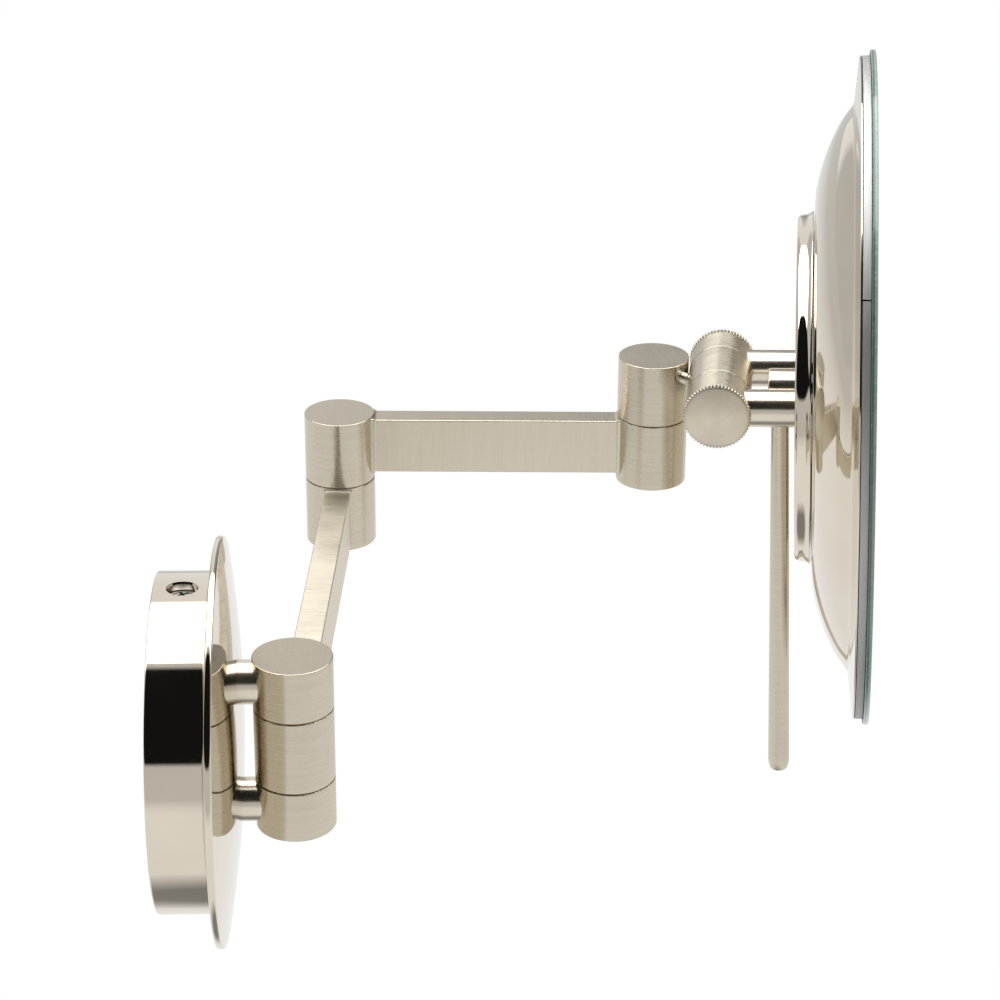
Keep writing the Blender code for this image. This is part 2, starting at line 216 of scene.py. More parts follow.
# ---- bodies ----------------------------------------------------------------
def skin(name, rows, along, around, place, ring=False, caps=False):
    """A body skinned over rows of points; a row of one point is a pole."""
    shape = bmesh.new()
    uv = shape.loops.layers.uv.new("brush")
    count = len(around) - 1
    loops = []
    for row in rows:
        made = [shape.verts.new(Vector(point) * MM) for point in row]
        loops.append(made if len(made) > 1 else made * count)
    pairs = [(i, i + 1, along[i], along[i + 1]) for i in range(len(rows) - 1)]
    if ring:
        closing = (Vector(rows[0][0]) - Vector(rows[-1][0])).length
        pairs.append((len(rows) - 1, 0, along[-1], along[-1] + closing))
    for i, j, v_low, v_high in pairs:
        for k in range(count):
            m = (k + 1) % count
            ends = [(loops[i][k], around[k], v_low), (loops[i][m], around[k + 1], v_low),
                    (loops[j][m], around[k + 1], v_high), (loops[j][k], around[k], v_high)]
            ends = [end for n, end in enumerate(ends) if end[0] not in [e[0] for e in ends[:n]]]
            if len(ends) < 3:
                continue
            face = shape.faces.new([end[0] for end in ends])
            for loop, end in zip(face.loops, ends):
                loop[uv].uv = (end[1], end[2])
    if caps:
        shape.faces.new(loops[0])
        shape.faces.new(list(reversed(loops[-1])))
    bmesh.ops.recalc_face_normals(shape, faces=shape.faces[:])
    mesh = bpy.data.meshes.new(name)
    shape.to_mesh(mesh)
    shape.free()
    piece = bpy.data.objects.new(name, mesh)
    bpy.context.scene.collection.objects.link(piece)
    piece.matrix_world = place
    return piece


def lathe(name, outline, place, steps=128, ring=False, wobble=None):
    """A body turned round Z; wobble(radius, height, angle) may reshape the radius."""
    points = softened(outline)
    along = [0.0]
    for before, after in zip(points, points[1:]):
        along.append(along[-1] + (Vector(after) - Vector(before)).length)
    widest = max(point[0] for point in points)
    angles = [math.tau * k / steps for k in range(steps + 1)]
    rows = []
    for radius, height in points:
        if radius < 1e-6:
            rows.append([(0.0, 0.0, height)])
            continue
        row = []
        for angle in angles[:-1]:
            r = wobble(radius, height, angle) if wobble else radius
            row.append((r * math.cos(angle), r * math.sin(angle), height))
        rows.append(row)
    around = [angle * widest for angle in angles]
    return skin(name, rows, along, around, place, ring)


def slab(name, size, place, edge=0.0):
    """A block centred on place, with its edges rounded."""
    shape = bmesh.new()
    bmesh.ops.create_cube(shape, size=1.0)
    bmesh.ops.scale(shape, vec=Vector(size) * MM, verts=shape.verts[:])
    if edge > 0.0:
        bmesh.ops.bevel(shape, geom=shape.edges[:], offset=edge * MM, segments=3,
                        profile=0.5, affect="EDGES")
    mesh = bpy.data.meshes.new(name)
    shape.to_mesh(mesh)
    shape.free()
    piece = bpy.data.objects.new(name, mesh)
    bpy.context.scene.collection.objects.link(piece)
    piece.matrix_world = place
    return piece


def carve(piece, *cutters):
    """Cut the cutters out of the piece and throw them away."""
    for cutter in cutters:
        step = piece.modifiers.new("cut", "BOOLEAN")
        step.object = cutter
        step.solver = "EXACT"
    bpy.context.view_layer.update()
    depsgraph = bpy.context.evaluated_depsgraph_get()
    mesh = bpy.data.meshes.new_from_object(piece.evaluated_get(depsgraph))
    piece.modifiers.clear()
    piece.data = mesh
    for cutter in cutters:
        bpy.data.objects.remove(cutter, do_unlink=True)
    return piece


def straight_brush(piece, angle_deg, slot_index):
    """Lay straight brush lines on the flat ends of a turned piece and give them a material."""
    mesh = piece.data
    layer = mesh.uv_layers["brush"].data
    turn = Matrix.Rotation(math.radians(angle_deg), 2)
    for polygon in mesh.polygons:
        if abs(polygon.normal.z) < 0.99:
            continue
        for loop in polygon.loop_indices:
            spot = mesh.vertices[mesh.loops[loop].vertex_index].co
            layer[loop].uv = turn @ (spot.to_2d() / MM)
        polygon.material_index = slot_index


def done(piece, slot_name, nodes, *materials, body=None, sharp=32.0):
    """Dress a piece, set it in world axes, let it ride on its body and stand for its nodes."""
    for material in materials:
        piece.data.materials.append(material)
    piece.data.transform(piece.matrix_world)
    piece.matrix_world = Matrix.Identity(4)
    piece.data.shade_smooth()
    piece.data.set_sharp_from_angle(angle=math.radians(sharp))
    even = piece.modifiers.new("even_shading", "WEIGHTED_NORMAL")
    even.keep_sharp = True
    even.weight = 60
    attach(piece, body or BODY_OF[nodes[0]])
    if nodes:
        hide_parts(*nodes)
    return piece


# ---- materials -------------------------------------------------------------
def material_of(name, colour, roughness, metallic=1.0):
    material = bpy.data.materials.new(name)
    material.use_nodes = True
    shader = material.node_tree.nodes["Principled BSDF"]
    shader.inputs["Base Color"].default_value = (*colour, 1.0)
    shader.inputs["Roughness"].default_value = roughness
    shader.inputs["Metallic"].default_value = metallic
    return material, material.node_tree, shader


def noise(tree, scale, detail=3.0, on_brush=False, seed=0.0):
    """Noise in the piece's own space, or drawn out along its brush lines."""
    if on_brush:
        source = tree.nodes.new("ShaderNodeUVMap")
        source.uv_map = "brush"
        output = source.outputs["UV"]
    else:
        source = tree.nodes.new("ShaderNodeTexCoord")
        output = source.outputs["Object"]
    mapping = tree.nodes.new("ShaderNodeMapping")
    mapping.inputs["Scale"].default_value = scale
    mapping.inputs["Location"].default_value = (seed, seed * 1.7, seed * 0.6)
    texture = tree.nodes.new("ShaderNodeTexNoise")
    texture.inputs["Scale"].default_value = 1.0
    texture.inputs["Detail"].default_value = detail
    tree.links.new(output, mapping.inputs["Vector"])
    tree.links.new(mapping.outputs["Vector"], texture.inputs["Vector"])
    return texture.outputs["Fac"]


def ranged(tree, value, low, high, start=0.3, end=0.7):
    node = tree.nodes.new("ShaderNodeMapRange")
    node.inputs["From Min"].default_value = start
    node.inputs["From Max"].default_value = end
    node.inputs["To Min"].default_value = low
    node.inputs["To Max"].default_value = high
    tree.links.new(value, node.inputs["Value"])
    return node.outputs["Result"]


def added(tree, first, second, operation="ADD"):
    node = tree.nodes.new("ShaderNodeMath")
    node.operation = operation
    for socket, value in zip(node.inputs, (first, second)):
        if isinstance(value, float):
            socket.default_value = value
        else:
            tree.links.new(value, socket)
    return node.outputs["Value"]


def blended(tree, share, first, second):
    node = tree.nodes.new("ShaderNodeMix")
    node.data_type = "RGBA"
    node.inputs["A"].default_value = (*first, 1.0)
    node.inputs["B"].default_value = (*second, 1.0)
    tree.links.new(share, node.inputs["Factor"])
    return node.outputs["Result"]


def bumped(tree, shader, height, strength, distance):
    node = tree.nodes.new("ShaderNodeBump")
    node.inputs["Strength"].default_value = strength
    node.inputs["Distance"].default_value = distance * MM
    tree.links.new(height, node.inputs["Height"])
    tree.links.new(node.outputs["Normal"], shader.inputs["Normal"])


def brushed_metal(name, dark, light, roughness=0.26, anisotropy=0.92, length=7.0, width=0.16,
                  contrast=1.0, seed=0.0):
    """Plated metal with fine brush lines along u and a faint cloudiness from handling."""
    material, tree, shader = material_of(name, light, roughness)
    fine = noise(tree, (1 / length, 1 / width, 1.0), 4.0, True, seed)
    broad = noise(tree, (0.3 / length, 0.16 / width, 1.0), 2.0, True, seed + 5.0)
    cloud = noise(tree, (60.0, 60.0, 60.0), 3.0, False, seed)
    lines = added(tree, ranged(tree, fine, 0.5 - 0.32 * contrast, 0.5 + 0.32 * contrast),
                  ranged(tree, broad, -0.16 * contrast, 0.16 * contrast))
    share = added(tree, lines, ranged(tree, cloud, -0.08, 0.08))
    tree.links.new(blended(tree, share, dark, light), shader.inputs["Base Color"])
    rough = added(tree, ranged(tree, fine, roughness - 0.04, roughness + 0.04),
                  ranged(tree, cloud, -0.02, 0.03))
    tree.links.new(rough, shader.inputs["Roughness"])
    bumped(tree, shader, fine, 0.16, 0.012)
    shader.inputs["Anisotropic"].default_value = anisotropy
    shader.inputs["Anisotropic Rotation"].default_value = 0.25
    tangent = tree.nodes.new("ShaderNodeTangent")
    tangent.direction_type = "UV_MAP"
    tangent.uv_map = "brush"
    tree.links.new(tangent.outputs["Tangent"], shader.inputs["Tangent"])
    return material


def polished_metal(name, colour, roughness=0.035, haze=0.03, wave=0.10):
    """Mirror-bright plating: faint haze, a very low orange peel and a few hair scratches."""
    material, tree, shader = material_of(name, colour, roughness)
    cloud = noise(tree, (38.0, 38.0, 38.0), 5.0)
    haired = noise(tree, (900.0, 70.0, 250.0), 3.0)
    peel = noise(tree, (110.0, 110.0, 110.0), 1.0)
    darker = tuple(value * 0.94 for value in colour)
    tree.links.new(blended(tree, ranged(tree, cloud, 0.0, 1.0), darker, colour),
                   shader.inputs["Base Color"])
    rough = added(tree, ranged(tree, cloud, roughness, roughness + haze),
                  ranged(tree, haired, 0.0, 0.02, 0.55, 0.8))
    tree.links.new(rough, shader.inputs["Roughness"])
    bumped(tree, shader, peel, wave, 0.02)
    return material


def plain_metal(name, colour, roughness=0.38):
    """Machined steel or bronze inside the mechanism: tool marks and oil-dark patches."""
    material, tree, shader = material_of(name, colour, roughness)
    marks = noise(tree, (300.0, 300.0, 2600.0), 3.0)
    stain = noise(tree, (180.0, 180.0, 180.0), 4.0, False, 3.0)
    darker = tuple(value * 0.62 for value in colour)
    tree.links.new(blended(tree, ranged(tree, stain, 0.1, 1.0), darker, colour),
                   shader.inputs["Base Color"])
    rough = added(tree, ranged(tree, marks, roughness - 0.06, roughness + 0.06),
                  ranged(tree, stain, 0.06, -0.03))
    tree.links.new(rough, shader.inputs["Roughness"])
    bumped(tree, shader, marks, 0.25, 0.02)
    return material


def foam(name):
    material, tree, shader = material_of(name, (0.03, 0.03, 0.032), 0.85, 0.0)
    cells = noise(tree, (2600.0, 2600.0, 2600.0), 2.0)
    tree.links.new(blended(tree, cells, (0.018, 0.018, 0.02), (0.06, 0.06, 0.063)),
                   shader.inputs["Base Color"])
    bumped(tree, shader, cells, 0.6, 0.08)
    return material


def silvered_face(name):
    """The silvered front of the glass, with faint wiping marks."""
    material, tree, shader = material_of(name, (0.90, 0.925, 0.915), 0.012)
    wipe = noise(tree, (14.0, 14.0, 14.0), 5.0)
    tree.links.new(ranged(tree, wipe, 0.006, 0.03, 0.45, 0.8), shader.inputs["Roughness"])
    tint = blended(tree, wipe, (0.885, 0.915, 0.905), (0.915, 0.935, 0.925))
    tree.links.new(tint, shader.inputs["Base Color"])
    return material


def glass_edge(name, deep, bright):
    """The ground green edge of float glass with a fine grain, made in a darker tone by the silvering as painted
    shade and a lighter tone by the front as painted light.
    """
    material, tree, shader = material_of(name, bright, 0.22, 0.0)
    grain = noise(tree, (700.0, 700.0, 700.0), 3.0)
    tree.links.new(blended(tree, ranged(tree, grain, 0.0, 1.0), deep, bright),
                   shader.inputs["Base Color"])
    tree.links.new(ranged(tree, grain, 0.14, 0.32), shader.inputs["Roughness"])
    bumped(tree, shader, grain, 0.15, 0.01)
    shader.inputs["Coat Weight"].default_value = 0.6
    shader.inputs["Coat Roughness"].default_value = 0.08
    return material


def backing_paint(name):
    material, tree, shader = material_of(name, (0.16, 0.17, 0.17), 0.5, 0.0)
    grain = noise(tree, (500.0, 500.0, 500.0), 3.0)
    tree.links.new(blended(tree, grain, (0.11, 0.12, 0.12), (0.22, 0.23, 0.23)),
                   shader.inputs["Base Color"])
    bumped(tree, shader, grain, 0.2, 0.02)
    return material


BRUSHED = brushed_metal("brushed_nickel", BRUSHED_DARK, BRUSHED_LIGHT)
BRUSHED_CAP = brushed_metal("brushed_nickel_end", BRUSHED_DARK, BRUSHED_LIGHT, 0.30, 0.85,
                            contrast=0.7, seed=2.0)
BRUSHED_BAR = brushed_metal("brushed_nickel_bar", BRUSHED_DARK, BRUSHED_LIGHT, 0.30, 0.85,
                            length=9.0, width=0.22, contrast=0.6, seed=4.0)
TURNED_FACE = brushed_metal("turned_nickel_face", BRUSHED_DARK, BRUSHED_LIGHT, 0.30, 0.7,
                            length=14.0, width=0.5, contrast=0.6, seed=7.0)
SATIN_BAND = brushed_metal("satin_band", (0.42, 0.42, 0.41), (0.56, 0.56, 0.555), 0.55, 0.0,
                           length=5.0, width=0.14, contrast=1.0, seed=9.0)
POLISHED = polished_metal("polished_nickel", NICKEL)
SOFT_POLISH = polished_metal("smooth_nickel", NICKEL, 0.18, 0.07, 0.06)
SCREW_STEEL = plain_metal("screw_steel", STEEL, 0.34)
WASHER_BRONZE = plain_metal("washer_bronze", BRONZE, 0.42)
PAD = foam("black_foam")
GLASS_FACE = silvered_face("silvered_glass_face")
# the glass edge's darker and lighter copies are painted shade and painted light, not two colours of glass
GLASS_EDGE_PAINTED_SHADE = glass_edge("glass_edge_painted_shade", (0.070, 0.125, 0.105), (0.105, 0.175, 0.150))
GLASS_EDGE_PAINTED_LIGHT = glass_edge("glass_edge_painted_light", (0.230, 0.340, 0.285), (0.310, 0.420, 0.360))
GLASS_BACKING = backing_paint("glass_backing_paint")


# ---- wall base -------------------------------------------------------------
def cross_cutters(place, width, slot, depth):
    """Two crossed slots, for a cross recess sunk from the origin of place."""
    return [slab("recess", (width, slot, depth * 2), place),
            slab("recess", (slot, width, depth * 2), place)]


def hex_cutter(place, across, depth):
    """A six-sided socket sunk from the origin of place."""
    radius = across / 2 / math.cos(math.pi / 6)
    return lathe("socket", [(0, 1), (radius, 1), (radius, -depth), (0, -depth - across / 4)],
                 place, steps=6)


def wall_drum():
    """The bright drum on the wall, with a set screw sunk in its top."""
    low, high, radius = span("base_drum", WALL)
    drum = lathe("base_drum_shell",
                 [(0, high), (radius, high, 1.1), (radius, low, 0.5), (radius - 3, low, 0.4),
                  (radius - 3, high - 2.5, 0.8), (0, high - 2.5)], WALL, steps=288)
    grub_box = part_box("drum_set_screw")
    spot = frame_on(((grub_box[0].x + grub_box[1].x) / 2, 0, 0), UP, (1, 0, 0))
    grub_low, grub_high, grub_radius = span("drum_set_screw", spot)
    hole = grub_radius + 0.4
    carve(drum, lathe("hole", [(0, radius + 2), (hole + 1.5, radius + 2), (hole + 0.5, radius - 0.05),
                               (hole, radius - 0.8), (hole, radius - 6), (0, radius - 6)],
                      spot, steps=96))
    done(drum, "polished_nickel", ["base_drum"], POLISHED)

    grub = lathe("drum_set_screw_head",
                 [(0, grub_high - 1.1), (2.0, grub_high - 1.2), (grub_radius, grub_high - 2.0, 0.5),
                  (grub_radius, grub_low + 1.8, 0.2), (2.2, grub_low, 0.3), (0, grub_low)], spot, 64)
    turned_recess = shifted(spot, z=grub_high - 1.1) @ Matrix.Rotation(math.radians(28), 4, "Z")
    carve(grub, *cross_cutters(turned_recess, 4.2, 0.9, 1.4))
    done(grub, "screw_steel", ["drum_set_screw"], SCREW_STEEL)


def cover_dome():
    """The slightly domed disc that covers the drum's front."""
    low, high, radius = span("cover_plate", WALL)
    rim = radius - 1.3
    dome = [(rim * step / 16, high - (rim * step / 16) ** 2 / PLATE_DOME) for step in range(17)]
    rim_front = high - radius ** 2 / PLATE_DOME
    outline = dome + [(radius, rim_front, 0.9), (radius, low, 0.8), (55, low, 1.0),
                      (40, high - 4.4, 2.0), (0, high - 2.4)]
    done(lathe("cover_plate_dome", outline, WALL, steps=256), "polished_nickel", ["cover_plate"],
         POLISHED)


def barrel(name, node, place, low_edge, high_edge, cap_turn, hole=0.0):
    """A turned sleeve between two heights, with straight brush lines on its flat ends."""
    radius = corners(node, place)[1].y
    outline = [(0, high_edge), (radius, high_edge, EDGE), (radius, low_edge, EDGE)]
    if hole > 0.0:
        ceiling = low_edge + PIN_HOLE_DEPTH
        outline += [(hole, low_edge, EDGE), (hole, ceiling), (0, ceiling)]
    else:
        outline += [(0, low_edge)]
    piece = lathe(name, outline, place, steps=160)
    straight_brush(piece, cap_turn, 1)
    return piece


def base_hinge():
    """The two hinge barrels on the plate, each with the round stub that carries it."""
    upper_groove = middle_height("hinge_washer_upper")
    lower_groove = middle_height("hinge_washer_lower")
    for node, low, high in (
            ("lug_upper", upper_groove + GROOVE_HALF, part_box("lug_upper")[1].z / MM),
            ("lug_lower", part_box("lug_lower")[0].z / MM, lower_groove - GROOVE_HALF)):
        hole = PIN_HOLE_R if node == "lug_lower" else 0.0
        piece = barrel(node + "_barrel", node, BASE_AXIS, low, high, BASE_CAP_TURN, hole)
        done(piece, "brushed_nickel", [node], BRUSHED, BRUSHED_CAP)
        level = STUB_LEVEL if node == "lug_upper" else -STUB_LEVEL
        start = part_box("cover_plate")[1].x / MM - level ** 2 / PLATE_DOME - 1.2
        end = BASE_AXIS.translation.x / MM - STUB_INSET
        stub = lathe(node + "_stub", [(0, end), (STUB_R, end, 0.5), (STUB_R, start, 0.1), (0, start)],
                     shifted(WALL, x=level), 128)
        done(stub, "brushed_nickel", [], SOFT_POLISH, body="base")


def swivel_pin(node, place):
    """A shouldered pivot screw with a hex socket, seen from below in its recess."""
    low, high, radius = span(node, place)
    pin = lathe(node + "_turned", [(0, low), (radius, low, 0.4), (radius, low + 1.65, 0.15),
                                   (PIN_R, low + 1.65), (PIN_R, high, 0.4), (0, high)], place, 64)
    flipped = shifted(place, z=low) @ Matrix.Rotation(math.pi, 4, "X")
    carve(pin, hex_cutter(flipped, 4.0, 1.1))
    done(pin, "screw_steel", [node], SCREW_STEEL)


def thin_washer(node, place, level, material, slot_name, half=0.14):
    radius = corners(node, place)[1].y
    ring = lathe(node + "_ring", [(radius, level + half, 0.05), (radius, level - half, 0.05),
                                  (WASHER_BORE_R, level - half), (WASHER_BORE_R, level + half)],
                 place, 96, ring=True)
    done(ring, slot_name, [node], material)


# ---- arms ------------------------------------------------------------------
def rounded_section(half_width, low, high, edge, parts=4):
    """A closed loop of (y, z) points round a bar's cross-section."""
    centres = ((half_width - edge, high - edge, 0), (edge - half_width, high - edge, 90),
               (edge - half_width, low + edge, 180), (half_width - edge, low + edge, 270))
    loop = []
    for y, z, start in centres:
        for part in range(parts + 1):
            angle = math.radians(start + 90 * part / parts)
            loop.append((y + edge * math.cos(angle), z + edge * math.sin(angle)))
    return loop


def arm_bar(node, start, end, barrel_radius):
    """A flat bar between two barrels, with a small braze fillet where it meets each of them."""
    reach = (end.translation - start.translation)
    length = reach.length / MM
    place = frame_on(start.translation, UP, reach)
    low, high = corners(node, place)
    half = (high.y - low.y) / 2
    stop = barrel_radius - 2.6
    stations = [stop, barrel_radius - 0.6]
    stations += [barrel_radius + BRAZE * part / 6 for part in range(7)]
    stations += [barrel_radius + 2.0]
    spots = stations + [length - spot for spot in reversed(stations)]
    rows = []
    for spot in spots:
        off = min(spot, length - spot) - barrel_radius
        s = min(1.0, max(0.0, off / BRAZE))
        swell = 0.45 * (1 - math.sqrt(1 - (1 - s) ** 2))
        loop = rounded_section(half + swell, low.z - swell, high.z + swell, BAR_EDGE)
        rows.append([(spot, y, z) for y, z in loop])
    around = [0.0]
    section = rounded_section(half, low.z, high.z, BAR_EDGE)
    for before, after in zip(section, section[1:] + section[:1]):
        around.append(around[-1] + math.dist(before, after))
    bar = skin(node + "_flat", rows, spots, around, place, caps=True)
    cutters = [lathe("barrel_room", [(0, 80), (barrel_radius - 0.02, 80), (barrel_radius - 0.02, -40),
                                     (0, -40)], shifted(place, x=spot), 160) for spot in (0, length)]
    carve(bar, *cutters)
    done(bar, "brushed_nickel", [node], BRUSHED_BAR)


def arms():
    """The sleeves, bars, pivot pins and bearing washers of both arms and the wrist."""
    low_groove = middle_height("elbow_washer")
    high_groove = middle_height("wrist_washer")
    ends = {
        "lower_arm_base_sleeve": (BASE_AXIS, -low_groove + GROOVE_HALF, low_groove - GROOVE_HALF),
        "lower_arm_elbow_sleeve": (ELBOW_AXIS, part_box("lower_arm_elbow_sleeve")[0].z / MM,
                                   low_groove - GROOVE_HALF),
        "upper_arm_elbow_sleeve": (ELBOW_AXIS, low_groove + GROOVE_HALF,
                                   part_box("upper_arm_elbow_sleeve")[1].z / MM),
        "upper_arm_wrist_sleeve": (WRIST_AXIS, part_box("upper_arm_wrist_sleeve")[0].z / MM,
                                   high_groove - GROOVE_HALF),
        "wrist_sleeve": (WRIST_AXIS, high_groove + GROOVE_HALF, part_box("wrist_sleeve")[1].z / MM),
    }
    open_below = ("lower_arm_elbow_sleeve", "upper_arm_wrist_sleeve")
    for node, (place, low, high) in ends.items():
        hole = PIN_HOLE_R if node in open_below else 0.0
        cap_turn = WRIST_CAP_TURN if node == "wrist_sleeve" else ARM_CAP_TURN
        piece = barrel(node + "_barrel", node, place, low, high, cap_turn, hole)
        done(piece, "brushed_nickel", [node], BRUSHED, BRUSHED_CAP)
    radius = corners("wrist_sleeve", WRIST_AXIS)[1].y
    arm_bar("lower_arm_bar", BASE_AXIS, ELBOW_AXIS, radius)
    arm_bar("upper_arm_bar", ELBOW_AXIS, WRIST_AXIS, radius)
    for node, place in (("hinge_pin", BASE_AXIS), ("elbow_pin", ELBOW_AXIS),
                        ("wrist_pin", WRIST_AXIS)):
        swivel_pin(node, place)
    for node, place, level in (("hinge_washer_upper", BASE_AXIS, low_groove),
                               ("hinge_washer_lower", BASE_AXIS, -low_groove),
                               ("elbow_washer", ELBOW_AXIS, low_groove),
                               ("wrist_washer", WRIST_AXIS, high_groove)):
        thin_washer(node, place, level, WASHER_BRONZE, "bearing_bronze")


# ---- wrist and clutch ------------------------------------------------------
def wrist_stud():
    """A threaded stud from the wrist barrel into the clutch barrel, with a true helix."""
    level = CLUTCH_CENTRE.z
    start = Vector((WRIST_AXIS.translation.x, WRIST_AXIS.translation.y, level))
    run = CLUTCH_CENTRE - start
    place = frame_on(start, run)
    low, high, radius = span("wrist_stud", place)
    pitch = STUD_PITCH
    count = int((high - low) / pitch * 10)
    heights = [low + (high - low) * i / count for i in range(count + 1)]

    def thread(r, height, angle):
        phase = (height / pitch - angle / math.tau) % 1.0
        return r - 0.42 * abs(2 * phase - 1.0) ** 1.3

    outline = [(0, high)] + [(radius + 0.12, height) for height in reversed(heights)] + [(0, low)]
    stud = lathe("wrist_stud_thread", outline, place, 48, wobble=thread)
    done(stud, "screw_steel", ["wrist_stud"], SOFT_POLISH, sharp=50.0)
    return place, radius


def clutch():
    """The clutch barrel, the two outer barrels, their washers and the thumb nuts."""
    radius = span("clutch_barrel", CLUTCH_AXIS)[2]
    washer = corners("clutch_washer_far", CLUTCH_AXIS)
    groove = (washer[0].z + washer[1].z) / 2
    half = groove - CLUTCH_GAP
    stud_place, stud_radius = wrist_stud()
    middle = lathe("clutch_barrel_turned", [(0, half), (radius, half, EDGE), (radius, -half, EDGE),
                                            (0, -half)], CLUTCH_AXIS, 160)
    reach = (CLUTCH_CENTRE - stud_place.translation).length / MM
    face = reach - radius
    carve(middle, lathe("stud_seat", [(0, reach - 5), (stud_radius + 0.25, reach - 5),
                                      (stud_radius + 0.25, face + 0.7), (stud_radius + 1.1, face - 0.3),
                                      (stud_radius + 1.1, face - 4), (0, face - 4)], stud_place, 64))
    done(middle, "brushed_nickel", ["clutch_barrel"], BRUSHED)
    for side, end in ((-1, "near"), (1, "far")):
        node = "yoke_" + end
        place = CLUTCH_AXIS if side > 0 else CLUTCH_AXIS @ Matrix.Rotation(math.pi, 4, "X")
        knob_high, knob_radius = span("clutch_knob_" + end, place)[1:]
        rim_low = corners(node, place)[1].z
        sleeve = lathe(node + "_barrel", [(0, rim_low), (radius, rim_low, EDGE),
                                          (radius, groove + CLUTCH_GAP, EDGE),
                                          (0, groove + CLUTCH_GAP)], place, 160)
        done(sleeve, "brushed_nickel", [node], BRUSHED)
        thin_washer("clutch_washer_" + end, place, groove, PAD, "black_pad", 0.09)
        thumb_nut(end, place, rim_low + 0.25, knob_high, knob_radius)


def thumb_nut(end, place, inner, crown, radius):
    """A thumb nut: knurled rim, a small bevel and a turned face with a low crown."""
    rim_top = crown - KNOB_CROWN
    step_angle = math.tau / KNOB_TEETH

    def knurl(r, height, angle):
        if r < radius - 0.01:
            return r
        phase = (angle / step_angle) % 1.0
        return r - KNURL_DEPTH * (0.5 + 0.5 * math.cos(math.tau * phase)) ** 1.5

    dome = []
    flat = radius - 0.55
    for step in range(13):
        r = flat * step / 12
        dome.append((r, crown - KNOB_CROWN * (r / flat) ** 2))
    outline = dome + [(radius, rim_top - 0.30), (radius, inner + 0.35), (radius - 0.55, inner),
                      (0, inner)]
    nut = lathe("clutch_knob_" + end + "_nut", outline, place, KNOB_TEETH * 8, wobble=knurl)
    for polygon in nut.data.polygons:
        polygon.material_index = 1 if polygon.center.z > (rim_top - 0.2) * MM else 0
    done(nut, "brushed_nickel", ["clutch_knob_" + end], BRUSHED, TURNED_FACE, sharp=50.0)


# ---- mirror head -----------------------------------------------------------
def yoke_bars(hub_back):
    """The two round bars from the clutch to the hub."""
    for node in ("yoke_near", "yoke_far"):
        low, high = corners(node, CLUTCH_AXIS)
        middle = (low.z + high.z) / 2
        sideways = HEAD_AXIS.inverted().to_3x3() @ (CLUTCH_AXIS.to_3x3() @ Vector((0, 0, middle)))
        outline = [(0, hub_back - 0.04), (YOKE_BAR_R, hub_back - 0.04, 0.35),
                   (YOKE_BAR_R, 7.0, 0.4), (0, 7.0)]
        place = shifted(HEAD_AXIS, sideways.x, sideways.y, sideways.z)
        bar = lathe(node + "_bar", outline, place, 128)
        done(bar, "brushed_nickel", [], SOFT_POLISH, body="head")


def hub():
    """The round hub on the shell; its back height is where bars and post end."""
    low, high, radius = span("hub_disc", HEAD_AXIS)
    outline = [(0, low), (radius - 2.2, low, 0.8), (radius - 1.4, low + 0.9, 0.8),
               (radius - 1.0, high - 1.6, 0.9), (radius, high - 0.35, 0.3), (radius, high, 0.15),
               (54, high), (53, high - 2.3), (27, high - 2.3), (26, high), (0, high)]
    done(lathe("hub_disc_turned", outline, HEAD_AXIS, 256), "polished_nickel", ["hub_disc"],
         POLISHED)
    return low


def handle(hub_back):
    """The post on the hub and the round rod that hangs in it."""
    low, _, radius = span("handle_post", HEAD_AXIS)
    post = lathe("handle_post_turned", [(0, low), (radius, low, 0.7), (radius, hub_back - 0.04, 0.3),
                                        (0, hub_back - 0.04)], HEAD_AXIS, 128)
    done(post, "brushed_nickel", ["handle_post"], SOFT_POLISH)
    rod_box = corners("handle_rod", HEAD_AXIS)
    at = (rod_box[0].z + rod_box[1].z) / 2
    top, bottom = rod_box[1].x, rod_box[0].x
    wide = (rod_box[1].y - rod_box[0].y) / 2
    place = HEAD_AXIS @ Matrix.Translation(Vector((0, 0, at)) * MM) @ Matrix.Rotation(
        math.pi / 2, 4, "Y")
    outline = [(0, top), (3.05, top, 0.2), (3.1, -8.0)]
    outline += [(wide, bottom + 3.4, 1.2), (wide * 0.80, bottom, 1.6), (0, bottom)]
    rod = lathe("handle_rod_turned", outline, place, 96)
    done(rod, "brushed_nickel", ["handle_rod"], BRUSHED)


def shell():
    """The dished back shell, smooth from the hub's rim out to its flat edge."""
    low, high, radius = span("back_shell", HEAD_AXIS)
    dish = flowing([(61, low), (68, low + 0.5), (76, low + 2.35), (84, low + 5.15),
                    (91, low + 8.6), (96.8, low + 12.7)], 8)
    outline = [(0, low), (30, low), (52, low)] + dish
    outline += [(98.2, low + 13.0, 0.6), (radius, high - 0.55, 0.15), (radius, high, 0.2),
                (97.6, high - 0.75, 0.6), (90.3, low + 10.1, 2.0), (75.5, low + 3.7, 2.0),
                (61, low + 1.3, 1.0), (0, low + 1.3)]
    done(lathe("back_shell_dish", outline, HEAD_AXIS, 320), "polished_nickel", ["back_shell"],
         POLISHED)


def rim_band():
    """The thin satin band round the head, with its one split."""
    low, high, radius = span("rim_band", HEAD_AXIS)
    low -= 0.15
    high += 0.45
    inner = radius - BAND_WALL
    band = lathe("rim_band_ring", [(radius, high, 0.15), (radius, low, 0.15), (inner, low),
                                   (inner, high)], HEAD_AXIS, 320, ring=True)
    angle = math.radians(BAND_SPLIT_DEG)
    middle = (low + high) / 2
    near_side = -1 if (HEAD_AXIS.to_3x3() @ Vector((0, 1, 0))).y > 0 else 1
    spot = shifted(HEAD_AXIS, radius * math.sin(angle), near_side * radius * math.cos(angle), middle)
    split = slab("band_split", (BAND_SPLIT_GAP, 9.0, 9.0),
                 spot @ Matrix.Rotation(-near_side * angle, 4, "Z"))
    carve(band, split)
    done(band, "polished_nickel", ["rim_band"], SATIN_BAND)


